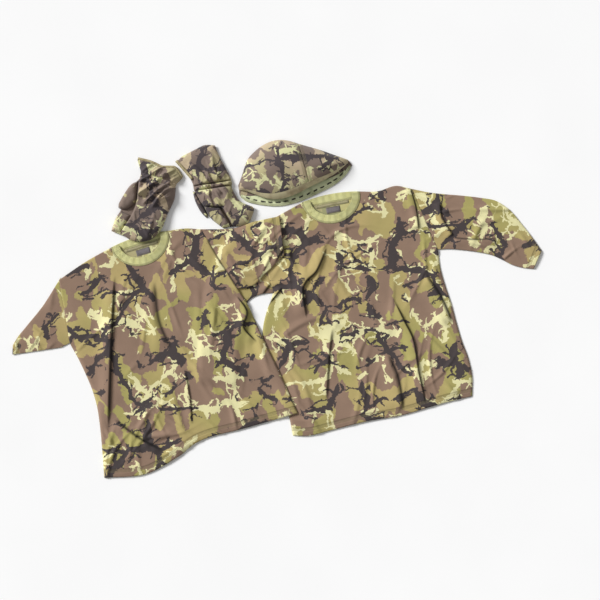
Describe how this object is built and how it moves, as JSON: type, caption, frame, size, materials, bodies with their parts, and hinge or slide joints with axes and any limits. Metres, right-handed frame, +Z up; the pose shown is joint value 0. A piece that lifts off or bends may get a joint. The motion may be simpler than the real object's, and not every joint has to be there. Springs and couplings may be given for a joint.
{
  "type": "camouflage field clothing set",
  "caption": "Camouflage field clothing laid out flat: crew-neck shirts with ribbed collars, a soft domed cap and trigger-finger mittens.",
  "frame": {"origin": "middle of the laid-out set's footprint, on the surface it lies on", "axes": "+Z up from the surface; +X along the set's long side, from the short-sleeved shirt to the long-sleeved one; +Y from the hems towards the collars and the cap"},
  "size_m": [1.6478, 1.0574, 0.0546],
  "materials": {
    "camouflage": "matte",
    "rib": "matte",
    "tape": "matte",
    "label": "satin",
    "lining": "matte",
    "hem_cloth": "matte",
    "elastic": "matte"
  },
  "bodies": {
    "long_shirt": {"long_shirt_back_panel": "camouflage", "long_shirt_front_panel": "camouflage", "long_shirt_collar_front": "rib", "long_shirt_collar_back": "rib", "long_shirt_neck_tape": "tape", "long_shirt_neck_label": "label", "long_shirt_left_sleeve": "camouflage"},
    "long_shirt_right_sleeve": {"long_shirt_right_sleeve": "camouflage"},
    "short_shirt": {"short_shirt_back_panel": "camouflage", "short_shirt_front_panel": "camouflage", "short_shirt_collar_front": "rib", "short_shirt_collar_back": "rib", "short_shirt_neck_tape": "tape", "short_shirt_neck_label": "label"},
    "short_shirt_right_sleeve": {"short_shirt_right_sleeve": "camouflage"},
    "short_shirt_left_sleeve": {"short_shirt_left_sleeve": "camouflage"},
    "cap": {"cap_upper_front_panel": "camouflage", "cap_upper_back_panel": "camouflage", "cap_upper_hem": "hem_cloth", "cap_lower_front_panel": "camouflage", "cap_lower_back_panel": "camouflage", "cap_rim_facing": "lining"},
    "left_mitten": {"left_mitten_palm": "camouflage", "left_mitten_back": "camouflage", "left_mitten_wrist_tunnel": "elastic", "left_mitten_gauntlet": "camouflage", "left_mitten_cuff_hem": "hem_cloth", "left_mitten_trigger_finger": "camouflage", "left_mitten_thumb": "camouflage"},
    "right_mitten": {"right_mitten_palm": "camouflage", "right_mitten_back": "camouflage", "right_mitten_wrist_tunnel": "elastic", "right_mitten_gauntlet": "camouflage", "right_mitten_cuff_hem": "hem_cloth", "right_mitten_trigger_finger": "camouflage", "right_mitten_thumb": "camouflage"}
  },
  "joints": [
    {"name": "long_shirt_right_sleeve_fold", "type": "hinge", "parent": "long_shirt", "child": "long_shirt_right_sleeve", "pos_m": [0.42099, 0.3714, 0.0075], "axis": [0.3778, -0.9259, 0], "range_deg": [0, 165]},
    {"name": "short_shirt_lift", "type": "slide", "parent": "long_shirt", "child": "short_shirt", "axis": [0, 0, 1], "range_m": [0, 0.3]},
    {"name": "short_shirt_right_sleeve_fold", "type": "hinge", "parent": "short_shirt", "child": "short_shirt_right_sleeve", "pos_m": [-0.24077, 0.24324, 0.01556], "axis": [0.5167, -0.8562, 0.004], "range_deg": [0, 165]},
    {"name": "short_shirt_left_sleeve_fold", "type": "hinge", "parent": "short_shirt", "child": "short_shirt_left_sleeve", "pos_m": [-0.6464, -0.11262, 0.0085], "axis": [-0.1867, 0.9824, 0], "range_deg": [0, 165]},
    {"name": "cap_lift", "type": "slide", "parent": "long_shirt", "child": "cap", "axis": [0, 0, 1], "range_m": [0, 0.3]},
    {"name": "left_mitten_lift", "type": "slide", "parent": "short_shirt", "child": "left_mitten", "axis": [0, 0, 1], "range_m": [0, 0.3]},
    {"name": "right_mitten_lift", "type": "slide", "parent": "long_shirt", "child": "right_mitten", "axis": [0, 0, 1], "range_m": [0, 0.3]}
  ]
}
